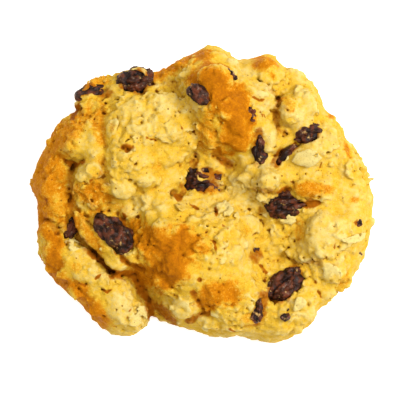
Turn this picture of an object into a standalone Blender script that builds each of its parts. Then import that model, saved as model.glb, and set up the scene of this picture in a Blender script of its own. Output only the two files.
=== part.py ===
"""An oatmeal raisin cookie: one lumpy drop of baked dough with raisins sunk in it.

+Z is up and the cookie lies on its flat baked base. X runs across its widest way, and the origin is on the base
under the middle of its outline. All sizes below are millimetres; MM turns them into Blender's metres.
"""

import math

import bmesh
import bpy
import numpy as np
from mathutils import Euler, Vector
from mathutils.geometry import delaunay_2d_cdt

MM = 0.001

# Driving dimensions of the dough.
WIDTH = 90.0  # across X, the widest way
GRID = 1.85  # spacing of the points that make the surface
BROAD_Z = 3.4  # height at which the outline is broadest
HEEL = ((0.5, 1.5), (2.2, 0.0))  # (inset, height) of the two rings where the side tucks under to the base
BASE_GRID = 7.0  # spacing of the points on the flat base
SHOULDER = 4.2  # how far in from the outline the rounded edge reaches
PLATEAU_Z = 8.0  # height of the spread dough between the lumps
CREASE = 1.0  # how softly one lump runs into the next
CAP_POWER = 3.0  # how flat a lump's top is before its flank falls away

# The oat clumps that roughen every lump.
CLUMPS = 420
CLUMP_RADIUS = 3.1
CLUMP_HEIGHT = 1.7
CLUMP_SEED = 7

# Raisins.
RAISIN_SEGMENTS = 12
RAISIN_RINGS = 8
RAISIN_GAP = 0.4  # between a raisin and the pocket it sits in
RAISIN_FOLDS = 3  # wrinkles round a raisin's waist
FOLD_DEPTH = 0.08  # share of the radius

DOUGH_COLOUR = (0.80, 0.50, 0.13, 1.0)
RAISIN_COLOUR = (0.035, 0.012, 0.014, 1.0)

# Where the outline bulges and nips, going round from the +X side. Lobes stand between the nips.
OUTLINE = (
    (45.0, -2.9), (44.2, 2.9), (41.8, 9.7), (37.6, 15.3), (35.3, 20.3), (32.6, 21.8), (31.1, 26.1),
    (26.6, 31.3), (21.3, 33.7), (18.2, 36.8), (14.2, 36.1), (9.7, 35.3), (6.8, 37.4), (2.6, 39.2),
    (-1.3, 37.4), (-7.1, 34.5), (-12.1, 31.8), (-16.8, 32.9), (-22.9, 31.3), (-29.0, 29.2), (-31.8, 25.3),
    (-33.7, 21.3), (-36.8, 19.5), (-39.2, 16.3), (-43.2, 8.2), (-45.0, 2.4), (-43.7, -1.3), (-42.9, -4.7),
    (-43.2, -11.6), (-41.3, -19.0), (-37.4, -24.2), (-29.5, -31.6), (-25.0, -36.3), (-19.0, -37.4),
    (-14.7, -35.3), (-12.6, -32.4), (-9.7, -34.0), (-1.6, -36.3), (5.3, -37.9), (10.0, -37.4),
    (13.2, -38.4), (20.8, -39.2), (28.4, -34.7), (31.1, -30.3), (35.3, -26.8), (40.8, -20.0), (44.2, -11.6),
)  # fmt: skip

# The dough's lumps: (x, y, half length, half width, degrees from +X, top height, how far its flank drops).
LUMPS = {
    "left_crown": (-16.5, 12.5, 17.0, 13.5, 15, 17.8, 7.0),
    "brown_crown": (4.2, 22.3, 13.0, 8.0, -66, 20.4, 7.0),
    "behind_crown": (15.0, 20.5, 12.5, 6.0, -80, 16.2, 4.5),
    "centre_crown": (-1.8, -14.5, 17.5, 13.0, -38, 18.8, 7.0),
    "right_mound": (25.0, 7.0, 17.0, 12.5, -70, 13.4, 3.4),
    "far_rim": (0.8, 34.5, 9.5, 4.0, 8, 9.4, 4.0),
    "far_knob": (17.4, 32.8, 5.4, 4.6, 0, 12.6, 4.0),
    "right_knob": (24.6, 21.8, 6.4, 5.4, 0, 16.2, 4.2),
    "right_shoulder": (31.0, 18.6, 10.5, 5.5, -58, 12.2, 3.6),
    "flake_heap": (28.0, 10.0, 6.2, 4.2, 20, 16.4, 3.0),
    "centre_clump": (17.2, 4.2, 6.6, 4.4, -8, 16.8, 3.6),
    "brown_bump": (27.8, 2.0, 6.0, 3.5, -8, 16.2, 2.8),
    "right_flank": (37.0, 3.0, 12.5, 7.0, -75, 12.2, 4.0),
    "right_lobe": (33.2, -11.8, 8.8, 8.0, 20, 15.2, 5.0),
    "lower_right_lobe": (34.8, -21.3, 7.4, 6.4, 45, 12.2, 4.0),
    "raisin_lobe": (23.2, -28.2, 10.4, 8.8, 30, 12.8, 4.4),
    "front_lobe": (8.8, -27.6, 9.8, 8.4, -20, 15.2, 5.0),
    "front_slab": (-3.5, -30.0, 6.0, 4.2, 32, 12.6, 3.6),
    "rope": (-25.2, -11.5, 12.2, 4.0, -47, 13.4, 4.0),
    "lower_left_lobe": (-26.8, -25.0, 15.5, 7.8, -40, 11.0, 3.6),
    "left_lobe": (-38.2, -2.0, 11.5, 6.5, 82, 10.4, 3.6),
    "upper_left_lobe": (-33.4, 13.6, 8.0, 7.2, 40, 13.4, 4.4),
    "left_knob": (-28.6, 3.6, 6.8, 5.8, 60, 15.2, 4.4),
    "upper_left_rim": (-25.0, 28.0, 6.8, 3.4, 12, 9.0, 2.6),
}

# Raisins: (x, y, length, width, height, degrees from +X, degrees of tilt, how far the middle lies below the dough).
RAISINS = {
    "raisin_rim": (-17.1, 29.6, 10.6, 7.8, 5.6, 8, 0, 1.1),
    "raisin_edge": (-29.4, 26.4, 8.6, 3.6, 3.4, 22, 4, 0.9),
    "raisin_under_crown": (-0.8, 25.6, 7.8, 4.6, 4.4, -44, 0, 1.5),
    "raisin_behind_crown": (15.2, 12.1, 9.4, 4.0, 4.0, 84, 0, 1.4),
    "raisin_far": (27.6, 15.9, 8.4, 5.4, 4.6, 8, 0, 1.4),
    "raisin_far_strip": (22.2, 10.0, 7.8, 3.4, 3.6, 40, 0, 1.1),
    "raisin_centre": (0.6, 3.8, 10.8, 8.4, 5.0, -8, 0, 1.7),
    "raisin_right": (21.7, -2.8, 10.8, 7.6, 5.2, 14, 0, 1.7),
    "raisin_left_long": (-23.2, -10.0, 13.6, 6.2, 5.2, -43, 0, 1.4),
    "raisin_left_small": (-34.0, -8.7, 7.4, 4.6, 4.0, 60, 0, 1.3),
    "raisin_front_large": (21.9, -23.6, 12.2, 7.2, 5.6, 44, 0, 1.6),
    "raisin_front_side": (14.6, -30.4, 7.2, 3.8, 3.8, 80, 0, 1.1),
}


def clear_scene():
    for obj in list(bpy.data.objects):
        bpy.data.objects.remove(obj)


def material(name, colour, roughness):
    """A plain surface of one colour."""
    made = bpy.data.materials.new(name)
    made.use_nodes = True
    shader = made.node_tree.nodes["Principled BSDF"]
    shader.inputs["Base Color"].default_value = colour
    shader.inputs["Roughness"].default_value = roughness
    shader.inputs["Metallic"].default_value = 0.0
    return made


def smooth_ring(points, spacing):
    """Points at an even spacing along the closed smooth curve through the given ones."""
    p = np.array(points)
    before, after, beyond = np.roll(p, 1, 0), np.roll(p, -1, 0), np.roll(p, -2, 0)
    steps = np.linspace(0, 1, 24, endpoint=False)[None, :, None]
    a, b, c, d = (q[:, None, :] for q in (before, p, after, beyond))
    curve = 0.5 * (
        2 * b
        + (c - a) * steps
        + (2 * a - 5 * b + 4 * c - d) * steps**2
        + (3 * b - a - 3 * c + d) * steps**3
    ).reshape(-1, 2)
    closed = np.vstack([curve, curve[:1]])
    run = np.concatenate([[0], np.cumsum(np.linalg.norm(np.diff(closed, axis=0), axis=1))])
    count = round(run[-1] / spacing)
    at = np.linspace(0, run[-1], count, endpoint=False)
    return np.column_stack([np.interp(at, run, closed[:, k]) for k in (0, 1)])


def fit_outline(ring):
    """The ring scaled to WIDTH, with the middle of its box at the origin."""
    low, high = ring.min(0), ring.max(0)
    return (ring - (low + high) / 2) * WIDTH / (high[0] - low[0])


def inset_ring(ring, distance):
    """The ring moved in towards the dough along its own smoothed normals."""
    along = np.roll(ring, -3, 0) - np.roll(ring, 3, 0)
    inward = np.column_stack([-along[:, 1], along[:, 0]])
    return ring + distance * inward / np.linalg.norm(inward, axis=1, keepdims=True)


def distance_in(x, y, ring):
    """How far each point lies in from the ring, negative outside it."""
    a, b = ring, np.roll(ring, -1, 0)
    edge = b - a
    to_x, to_y = x[:, None] - a[:, 0], y[:, None] - a[:, 1]
    along = np.clip((to_x * edge[:, 0] + to_y * edge[:, 1]) / (edge**2).sum(1), 0, 1)
    apart = np.hypot(to_x - along * edge[:, 0], to_y - along * edge[:, 1]).min(1)
    crosses = (a[:, 1] > y[:, None]) != (b[:, 1] > y[:, None])
    rise = np.where(edge[:, 1] == 0, 1, edge[:, 1])
    left_of = x[:, None] < a[:, 0] + edge[:, 0] * (y[:, None] - a[:, 1]) / rise
    inside = (crosses & left_of).sum(1) % 2 == 1
    return np.where(inside, apart, -apart)


def soft_max(a, b, softness):
    return (a + b + np.sqrt((a - b) ** 2 + softness**2)) / 2


def lump_height(x, y, lump):
    """The top surface of one lump: a flattened cap whose flank goes on falling past its rim."""
    cx, cy, half_length, half_width, degrees, top, drop = lump
    turn = math.radians(degrees)
    u = ((x - cx) * math.cos(turn) + (y - cy) * math.sin(turn)) / half_length
    v = ((y - cy) * math.cos(turn) - (x - cx) * math.sin(turn)) / half_width
    reach = np.sqrt(u**2 + v**2)
    past = np.clip(reach - 1, 0, None)
    return top - drop * (np.minimum(reach, 1) ** CAP_POWER + CAP_POWER * past)


def clump_height(x, y):
    """Small rounded bumps where oat flakes push the dough up, the nearest bump winning."""
    random = np.random.default_rng(CLUMP_SEED)
    at = random.uniform(-WIDTH / 2, WIDTH / 2, (CLUMPS, 2))
    radius = CLUMP_RADIUS * random.uniform(0.7, 1.3, CLUMPS)
    height = CLUMP_HEIGHT * random.uniform(0.4, 1.0, CLUMPS)
    reach = np.hypot(x[:, None] - at[:, 0], y[:, None] - at[:, 1]) / radius
    return (height * np.sqrt(np.clip(1 - reach**2, 0, 1))).max(1)


def dough_height(x, y, ring):
    """Height of the dough's upper surface over the base."""
    bend_x = x + 0.9 * np.sin(0.31 * y + 0.6) + 0.5 * np.sin(0.83 * y - 0.27 * x)
    bend_y = y + 0.9 * np.sin(0.29 * x + 2.1) + 0.5 * np.sin(0.79 * x + 0.33 * y)
    height = np.full(len(x), PLATEAU_Z)
    for lump in LUMPS.values():
        height = soft_max(height, lump_height(bend_x, bend_y, lump), CREASE)
    height += clump_height(x, y)
    inside = np.clip(distance_in(x, y, ring) / SHOULDER, 0, 1)
    return BROAD_Z + (height - BROAD_Z) * np.sqrt(1 - (1 - inside) ** 2.2)


def even_points(ring, spacing, margin):
    """A staggered grid of points that lie further than the margin inside the ring."""
    low, high = ring.min(0), ring.max(0)
    row = spacing * math.sqrt(3) / 2
    points = []
    for n, y in enumerate(np.arange(low[1], high[1], row)):
        shift = spacing / 2 * (n % 2)
        points += [(x + shift, y) for x in np.arange(low[0], high[0], spacing)]
    points = np.array(points)
    return points[distance_in(points[:, 0], points[:, 1], ring) > margin]


def filled(rings, loose):
    """Triangles over everything inside the first ring, using the points of every ring and the loose ones."""
    points = [Vector(p) for ring in rings for p in ring] + [Vector(p) for p in loose]
    first = len(rings[0])
    border = [(i, (i + 1) % first) for i in range(first)]
    inside_border = 1
    made = delaunay_2d_cdt(points, border, [], inside_border, 1e-6)
    if len(made[0]) != len(points):
        raise ValueError("two points of the surface coincide")
    order = {new: old[0] for new, old in enumerate(made[3])}
    return [tuple(order[i] for i in face) for face in made[2]]


def new_object(name, made, finish):
    """A linked object that holds the bmesh, in metres."""
    bmesh.ops.scale(made, vec=(MM, MM, MM), verts=made.verts)
    bmesh.ops.recalc_face_normals(made, faces=made.faces)
    mesh = bpy.data.meshes.new(name)
    made.to_mesh(mesh)
    made.free()
    mesh.materials.append(finish)
    mesh.shade_smooth()
    obj = bpy.data.objects.new(name, mesh)
    bpy.context.collection.objects.link(obj)
    return obj


def dough(ring, finish):
    """The baked dough: lumpy on top, rounded at its edge, tucked under to a flat base."""
    made = bmesh.new()
    shoulder = [inset_ring(ring, share * SHOULDER) for share in (0.09, 0.33)]
    loose = even_points(ring, GRID, 0.33 * SHOULDER + 0.6 * GRID)
    flat = np.vstack([ring, *shoulder, loose])
    heights = dough_height(flat[:, 0], flat[:, 1], ring)
    top = [made.verts.new((*p, z)) for p, z in zip(flat, heights)]
    for face in filled([ring, *shoulder], loose):
        made.faces.new([top[i] for i in face])
    bmesh.ops.smooth_vert(
        made, verts=top[len(ring) :], factor=0.5, use_axis_x=True, use_axis_y=True, use_axis_z=True
    )

    above = top[: len(ring)]
    for inset, z in HEEL:
        below = [made.verts.new((*p, z)) for p in inset_ring(ring, inset)]
        for i in range(len(ring)):
            j = (i + 1) % len(ring)
            made.faces.new((above[i], above[j], below[j], below[i]))
        above = below

    base_ring = inset_ring(ring, HEEL[-1][0])
    inner = even_points(base_ring, BASE_GRID, BASE_GRID / 2)
    base = above + [made.verts.new((*p, 0.0)) for p in inner]
    for face in filled([base_ring], inner):
        made.faces.new([base[i] for i in face])
    return new_object("cookie_dough", made, finish)


def raisin(name, spec, ring, finish, grow=0.0):
    """A shrivelled ellipsoid, its middle a little below the dough's surface. grow makes it larger all round."""
    x, y, length, width, height, heading, tilt, depth = spec
    made = bmesh.new()
    bmesh.ops.create_uvsphere(
        made, u_segments=RAISIN_SEGMENTS, v_segments=RAISIN_RINGS, radius=1
    )
    phase = 0.7 * x + 1.3 * y
    for vert in made.verts:
        around = math.atan2(vert.co.z, vert.co.y)
        fold = math.sin(RAISIN_FOLDS * around + 2.2 * vert.co.x + phase)
        vert.co *= 1 + FOLD_DEPTH * fold
        vert.co.x *= length / 2
        vert.co.y *= width / 2
        vert.co.z *= height / 2
    made.normal_update()
    outward = [vert.normal.copy() for vert in made.verts]
    for vert, normal in zip(made.verts, outward):
        vert.co += normal * grow
    bmesh.ops.triangulate(made, faces=made.faces)
    surface = dough_height(np.array([x]), np.array([y]), ring)[0]
    obj = new_object(name, made, finish)
    obj.location = Vector((x, y, surface - depth)) * MM
    obj.rotation_euler = Euler((0, math.radians(tilt), math.radians(heading)))
    return obj


def cut_pocket(body, cutter):
    """Cuts the cutter's shape out of the body and keeps the cutter as a hidden guide."""
    cutter.hide_render = True
    cutter.display_type = "WIRE"
    cut = body.modifiers.new("pocket_" + cutter.name, "BOOLEAN")
    cut.operation = "DIFFERENCE"
    cut.solver = "EXACT"
    cut.object = cutter


def main():
    clear_scene()
    crust = material("baked_dough", DOUGH_COLOUR, 0.8)
    skin = material("raisin_skin", RAISIN_COLOUR, 0.45)
    ring = fit_outline(smooth_ring(OUTLINE, GRID))
    body = dough(ring, crust)
    for name, spec in RAISINS.items():
        raisin(name, spec, ring, skin)
        cut_pocket(body, raisin(name + "_pocket", spec, ring, skin, RAISIN_GAP))


main()
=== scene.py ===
"""The looks of an oatmeal raisin cookie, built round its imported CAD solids.

The dough is modelled as clay: distances to its surface on a fine grid. The clay starts as the CAD dough, smoothed,
then takes its creases, cracks and holes, and has its oat flakes and crumbs pressed on. It ends as one mesh. Every
raisin takes its place and size from its CAD solid. Sizes are millimetres, and MM turns them into metres.
"""

import math

import bmesh
import bpy
import numpy as np
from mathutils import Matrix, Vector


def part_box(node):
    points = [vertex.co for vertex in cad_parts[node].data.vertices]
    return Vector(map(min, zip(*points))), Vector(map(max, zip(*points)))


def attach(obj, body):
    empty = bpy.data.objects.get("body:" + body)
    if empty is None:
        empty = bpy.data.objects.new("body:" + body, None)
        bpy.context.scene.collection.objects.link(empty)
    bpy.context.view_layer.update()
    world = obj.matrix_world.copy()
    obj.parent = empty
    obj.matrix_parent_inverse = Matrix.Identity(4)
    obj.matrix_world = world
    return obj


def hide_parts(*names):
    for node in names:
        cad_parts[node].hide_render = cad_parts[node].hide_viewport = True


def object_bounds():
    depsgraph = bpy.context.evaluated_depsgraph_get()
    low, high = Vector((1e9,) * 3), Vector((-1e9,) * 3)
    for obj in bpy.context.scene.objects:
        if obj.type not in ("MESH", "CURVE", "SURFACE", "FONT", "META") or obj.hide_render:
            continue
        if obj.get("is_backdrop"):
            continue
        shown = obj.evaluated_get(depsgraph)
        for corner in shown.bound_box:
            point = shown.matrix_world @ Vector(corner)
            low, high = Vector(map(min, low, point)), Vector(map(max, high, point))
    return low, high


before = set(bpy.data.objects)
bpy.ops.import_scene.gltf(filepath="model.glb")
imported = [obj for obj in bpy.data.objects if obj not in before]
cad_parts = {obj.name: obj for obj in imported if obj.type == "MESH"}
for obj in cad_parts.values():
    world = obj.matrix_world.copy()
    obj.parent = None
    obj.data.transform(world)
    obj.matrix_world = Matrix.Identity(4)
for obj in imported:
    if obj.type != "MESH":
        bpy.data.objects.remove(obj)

import openvdb
from mathutils import Vector
from mathutils.bvhtree import BVHTree

MM = 0.001
STEP = 0.3  # size of one cell of the clay
MARGIN = 1.5  # empty room left round the CAD box
DOUGH_TRIANGLES = 190000

# The side of the dough, as the CAD has it: heights, and how far the dough is tucked in at each.
TUCK_Z = (0.0, 1.5, 3.4)
TUCK_IN = (2.2, 0.5, 0.0)
RIM_Z = 3.4

# Creases where one lump of dough meets the next: (half width, depth, how dark they are painted along it, mostly as
# painted shade with some moist staining, points along it).
CREASES = {
    "left_fold": (1.3, 2.6, 0.5, ((-34.2, 7.4), (-34.4, 2.0), (-34.4, -3.5), (-32.4, -11.4), (-29.0, -15.2))),
    "left_fold_end": (1.1, 3.2, 0.9, ((-29.0, -15.2), (-25.8, -18.2), (-24.4, -20.0), (-22.8, -20.8))),
    "notch_fold": (1.5, 3.2, 0.7, ((-22.8, -20.8), (-18.0, -21.4), (-16.4, -24.2), (-14.2, -28.2), (-12.8, -32.6))),
    "raisin_tail": (0.9, 1.6, 0.8, ((-21.8, -14.8), (-20.8, -17.6), (-18.6, -18.9), (-15.6, -19.6))),
    "central_fold": (1.4, 1.7, 0.25, ((-6.8, 27.9), (-4.4, 25.2), (-2.6, 21.0), (-2.0, 15.5), (-1.6, 10.5))),
    "centre_left_fold": (1.1, 1.8, 0.5, ((-1.6, 10.5), (-2.9, 6.6), (-3.6, 2.6), (-5.8, -0.3), (-7.6, 0.1))),
    "crown_hollow": (1.4, 1.4, 0.5, ((3.4, 10.4), (5.4, 9.4), (7.2, 7.4))),
    "right_fold": (1.0, 1.8, 0.5, ((20.6, 24.7), (19.3, 22.0), (19.2, 18.8), (20.4, 16.4), (22.0, 15.8))),
    "right_fold_top": (0.8, 1.6, 0.4, ((14.6, 29.4), (17.6, 27.4), (19.6, 25.2))),
    "raisin_far_fold": (0.7, 1.6, 0.8, ((19.0, 10.0), (21.6, 11.2), (24.6, 13.2))),
    "lobe_wall": (1.5, 0.9, 0.0, ((24.4, -6.0), (24.6, -10.0), (23.6, -14.6))),
    "slab_edge": (1.6, 2.2, 0.6, ((-13.6, -28.4), (-10.6, -30.8), (-7.4, -33.4))),
    "slab_right": (0.6, 1.2, 0.5, ((-2.8, -25.6), (-1.2, -27.6), (0.4, -30.2))),
    "slab_cavity": (1.0, 1.6, 0.6, ((-4.0, -33.2), (-1.6, -32.2), (1.4, -30.8))),
    "lobe_top": (0.6, 0.9, 0.4, ((19.0, -17.4), (22.0, -16.2), (26.0, -18.8), (29.0, -17.4), (31.0, -17.9))),
    "under_clump": (1.1, 1.2, 0.45, ((13.6, 1.4), (16.4, 0.2), (20.6, 0.6), (22.8, 1.6))),
    "under_raisin": (0.7, 1.6, 0.8, ((25.0, -2.6), (27.0, -3.2), (30.4, -2.4))),
    "under_bump": (0.8, 1.5, 0.7, ((-37.4, 9.8), (-35.0, 8.2), (-33.4, 7.2), (-31.2, 8.5))),
    "mass_left": (1.0, 1.3, 0.3, ((-25.6, 20.6), (-26.2, 15.0), (-25.2, 12.4))),
    "mass_low_left": (1.2, 1.5, 0.4, ((-25.6, 9.6), (-26.2, 6.0), (-25.0, 2.4))),
    "lobe_left": (1.0, 1.4, 0.5, ((-42.0, -6.4), (-39.6, -7.4), (-37.6, -10.4))),
}

# Thin cracks in the crust: (half width, depth, points along it).
CRACKS = {
    "ragged_crevice": (0.6, 1.8, ((-23.8, 12.4), (-21.6, 13.0), (-19.9, 11.6), (-18.8, 11.5), (-17.6, 13.0))),
    "knob_top": (0.45, 1.2, ((21.0, 25.0), (23.0, 25.9), (24.6, 25.4))),
    "thin_crack": (0.35, 1.7, ((-21.4, -2.7), (-20.7, -4.3), (-20.1, -5.8), (-20.3, -6.8))),
    "long_crack": (0.25, 0.8, ((-15.0, -9.4), (-13.3, -8.5), (-11.6, -7.1))),
    "crown_streak": (0.45, 1.0, ((-4.4, 20.4), (-5.7, 19.2), (-5.3, 17.2))),
    "front_crevice": (0.55, 1.5, ((3.6, -3.6), (4.2, -6.2), (5.6, -8.2), (6.9, -9.0))),
    "centre_crevice": (0.4, 1.0, ((2.4, -12.0), (3.6, -13.6), (3.6, -16.2), (4.2, -17.6))),
    "raisin_crack": (0.5, 1.6, ((14.6, -18.2), (16.2, -19.6), (16.7, -20.8), (16.4, -23.6))),
    "lobe_crack": (0.5, 1.8, ((29.6, -23.0), (30.2, -25.4), (31.4, -27.4))),
    "crown_wedge": (0.45, 1.3, ((13.4, 25.2), (15.0, 24.2), (16.2, 24.4))),
    "crown_thread": (0.3, 0.8, ((15.2, 21.2), (16.0, 20.2))),
    "rim_crack": (0.4, 1.2, ((6.0, -33.0), (6.6, -34.8), (9.6, -36.6))),
    "left_lobe_crack": (0.4, 1.4, ((-27.8, -22.4), (-26.4, -21.0), (-24.8, -20.4))),
    "left_crack_a": (0.45, 1.6, ((-32.2, -23.3), (-30.6, -24.0))),
    "left_crack_b": (0.4, 1.4, ((-28.0, -24.4), (-27.1, -25.6))),
    "left_crack_c": (0.45, 1.7, ((-26.2, -24.9), (-24.7, -25.5), (-23.6, -24.9))),
    "lobe_line": (0.4, 0.8, ((-38.0, -22.6), (-35.6, -23.4), (-33.4, -23.5))),
    "middle_crack": (0.5, 1.4, ((-3.0, -2.9), (-1.9, -3.6), (-0.6, -3.9))),
    "top_left_crack": (0.3, 1.0, ((-25.2, 23.6), (-23.6, 24.2), (-21.9, 24.6))),
    "round_flake_edge": (0.3, 0.9, ((-19.6, -33.4), (-19.5, -31.2), (-18.0, -29.4))),
    "edge_line": (0.6, 1.2, ((-34.2, 18.6), (-32.3, 22.4), (-31.8, 25.8), (-31.2, 26.9), (-29.6, 26.8))),
    "dimple_crack": (0.35, 0.9, ((-14.9, 14.5), (-13.6, 14.3), (-12.0, 13.7))),
    "flank_line": (0.3, 0.8, ((-41.2, -0.4), (-40.4, -3.4))),
    "terrace_dent": (0.5, 1.2, ((-29.2, 3.3), (-28.2, 3.7))),
    "terrace_nick": (0.4, 1.0, ((-29.0, 19.0), (-28.2, 19.7))),
    "flake_shadow": (0.4, 1.2, ((30.6, 7.0), (31.4, 8.6), (32.2, 10.2))),
    "under_lobe_line": (0.3, 0.9, ((34.9, -10.4), (34.8, -12.6), (34.6, -14.6))),
    "lobe_nick": (0.35, 1.3, ((31.0, -18.0), (31.8, -16.9), (32.5, -16.5))),
    "clump_nick": (0.4, 1.2, ((22.6, 2.2), (23.4, 3.2))),
}

# Holes in the crust: (x, y, radius, depth).
HOLES = (
    (-19.6, 11.2, 0.8, 1.8), (-6.1, -0.7, 1.3, 2.2), (-0.6, -22.3, 0.5, 1.4), (-2.2, -25.6, 0.6, 1.5),
    (19.9, 24.6, 0.9, 1.8), (13.8, -14.6, 0.8, 1.6), (-41.2, -6.7, 0.5, 1.2), (-38.4, -10.6, 0.5, 1.2),
    (40.4, -7.6, 0.8, 1.0), (-34.0, 7.1, 0.6, 1.4),
)  # fmt: skip

# Soft lumps of dough: (x, y, half length, half width, degrees from +X, rise).
LUMPS = {
    "far_left_plateau": (-17.5, 21.0, 6.6, 4.2, 20, 1.0),
    "far_plateau": (-9.8, 22.8, 4.6, 3.4, -10, 0.9),
    "plateau_front": (-14.2, 16.6, 5.4, 2.6, 10, 0.7),
    "plateau_right": (-8.6, 16.6, 3.6, 2.8, -40, 0.9),
    "mass_top": (-9.6, 10.0, 4.2, 3.6, 30, 1.0),
    "mass_pale": (-20.4, 9.2, 3.0, 2.6, 0, 0.9),
    "mass_bright": (-20.6, 1.4, 3.6, 3.2, 0, 1.2),
    "mass_second": (-14.4, 3.8, 2.6, 2.2, 20, 1.0),
    "mass_third": (-12.6, -1.4, 4.4, 3.0, -20, 0.8),
    "mass_corner": (-8.2, 4.2, 3.0, 2.6, 0, 0.8),
    "terrace_low": (-30.4, 5.2, 2.8, 2.4, 0, 0.8),
    "terrace_middle": (-29.4, 12.4, 2.6, 3.0, 0, 0.5),
    "yellow_bump": (-33.0, 13.4, 2.6, 3.4, 0, 1.3),
    "terrace_far": (-29.4, 22.6, 2.6, 2.4, 0, 0.6),
    "rim_far": (-26.8, 29.2, 3.4, 1.5, 22, 0.6),
    "flank_upper": (-39.0, 6.6, 3.0, 2.4, 50, 0.7),
    "flank_middle": (-40.2, 1.0, 3.2, 2.6, -80, 0.8),
    "flank_lower": (-40.4, -9.6, 2.8, 2.6, 0, 0.9),
    "flank_inner": (-36.4, -0.6, 2.0, 2.6, 0, 0.6),
    "left_lobe_top": (-38.0, -15.6, 4.2, 3.6, -60, 0.9),
    "left_lobe_pale": (-30.4, -17.0, 4.8, 3.0, -45, 0.9),
    "left_lobe_inner": (-25.4, -22.6, 2.8, 2.0, -10, 0.8),
    "lower_lobe": (-21.4, -29.4, 5.4, 3.6, -60, 1.0),
    "lower_lobe_side": (-27.0, -30.0, 2.8, 3.0, -45, 0.8),
    "rope": (-29.2, -10.6, 7.4, 2.3, -52, 1.3),
    "rope_end": (-23.2, -18.3, 2.4, 1.3, -38, 1.0),
    "raisin_dough": (-18.2, -16.6, 2.2, 1.7, -40, 1.0),
    "ridge_top": (-9.4, -10.4, 4.6, 3.4, -50, 0.8),
    "ridge_browned": (-6.6, -18.4, 4.6, 3.8, -60, 0.9),
    "ridge_low": (-9.4, -23.2, 3.6, 2.8, -30, 0.8),
    "slab": (-4.8, -29.6, 3.4, 3.0, -30, 0.9),
    "under_slab": (2.8, -33.6, 3.0, 2.0, -14, 0.9),
    "under_slab_right": (8.0, -36.2, 2.0, 1.4, 0, 0.6),
    "front_browned": (4.6, -26.4, 4.4, 3.8, -40, 0.9),
    "front_middle": (10.4, -24.4, 3.8, 3.6, 0, 0.9),
    "front_right": (12.4, -32.0, 3.4, 2.4, 10, 0.8),
    "centre_low_left": (-2.0, -8.2, 3.2, 2.6, 0, 0.6),
    "centre_low": (2.4, -19.4, 3.2, 2.4, 30, 0.6),
    "centre_yellow": (12.4, -8.6, 3.2, 3.8, 60, 0.9),
    "centre_pale": (7.8, -15.8, 3.0, 3.2, 0, 0.7),
    "centre_top": (9.0, -1.0, 4.2, 2.6, 10, 1.3),
    "clump": (17.6, 3.4, 3.6, 2.9, 20, 1.7),
    "clump_side": (22.2, 4.4, 1.5, 2.2, 0, 1.0),
    "striped": (11.8, 4.6, 2.9, 1.4, 20, 0.8),
    "centre_lump": (2.6, 8.1, 2.1, 1.8, -30, 1.8),
    "under_lip": (20.6, 1.4, 2.4, 1.1, 30, 0.8),
    "bump": (28.0, 1.3, 4.6, 2.6, -4, 1.4),
    "bump_tip": (31.6, -0.8, 1.8, 0.9, 10, 1.0),
    "far_knob": (17.2, 33.2, 2.6, 2.8, 60, 1.2),
    "far_right": (24.6, 30.0, 3.8, 2.8, -40, 0.9),
    "knob": (22.8, 21.4, 2.7, 3.9, 10, 1.7),
    "knob_right": (27.6, 23.4, 2.4, 3.4, 10, 0.9),
    "whitish": (16.9, 29.4, 1.9, 1.4, -20, 0.9),
    "crown_far": (3.6, 29.8, 5.0, 4.0, -10, 1.5),
    "crown_side": (8.6, 21.0, 3.8, 6.2, 12, 1.2),
    "crown_near": (10.2, 14.0, 3.2, 3.6, 0, 0.8),
    "crown_left": (1.8, 15.6, 2.2, 4.8, 10, 0.6),
    "pale_ridge": (16.6, 25.6, 4.6, 2.0, -50, 0.8),
    "pale_ridge_near": (17.8, 14.6, 1.8, 4.4, 0, 0.8),
    "top_band": (3.4, 36.0, 4.2, 1.5, -6, 0.8),
    "top_band_left": (-4.6, 34.0, 3.0, 1.4, 20, 0.6),
    "behind_clump": (22.6, 14.8, 2.0, 1.1, 30, 0.6),
    "right_far": (33.6, 14.6, 2.2, 4.2, 20, 0.8),
    "right_middle": (37.6, 6.4, 2.4, 2.4, 0, 0.6),
    "right_dimple_side": (41.2, 1.6, 2.0, 3.4, 0, 0.7),
    "right_lobe": (30.6, -9.6, 3.8, 6.0, -8, 0.9),
    "right_flank": (38.6, -6.4, 3.2, 3.8, 0, 0.8),
    "lower_right": (34.4, -20.0, 3.2, 3.0, -40, 1.1),
    "lower_right_rim": (37.6, -23.0, 3.0, 2.2, 60, 0.7),
    "lower_right_near": (33.0, -25.6, 2.4, 2.4, 0, 0.8),
    "crumb_over_raisin": (24.9, -28.6, 1.9, 1.6, 60, 1.2),
    "near_right": (26.8, -31.6, 3.4, 2.4, 50, 0.9),
    "near_right_low": (21.0, -35.4, 2.4, 1.8, 10, 0.9),
    "between": (20.0, -9.0, 2.2, 3.0, 0, 0.5),
    "between_low": (18.4, -14.2, 2.4, 2.8, 0, 0.6),
    "right_of_raisin": (27.6, -21.8, 1.4, 2.8, 20, 0.5),
    "mass_foot": (-18.2, -4.6, 3.8, 3.0, -10, 1.3),
    "crown_foot": (12.4, 9.8, 3.0, 2.2, 20, 1.0),
}
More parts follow.
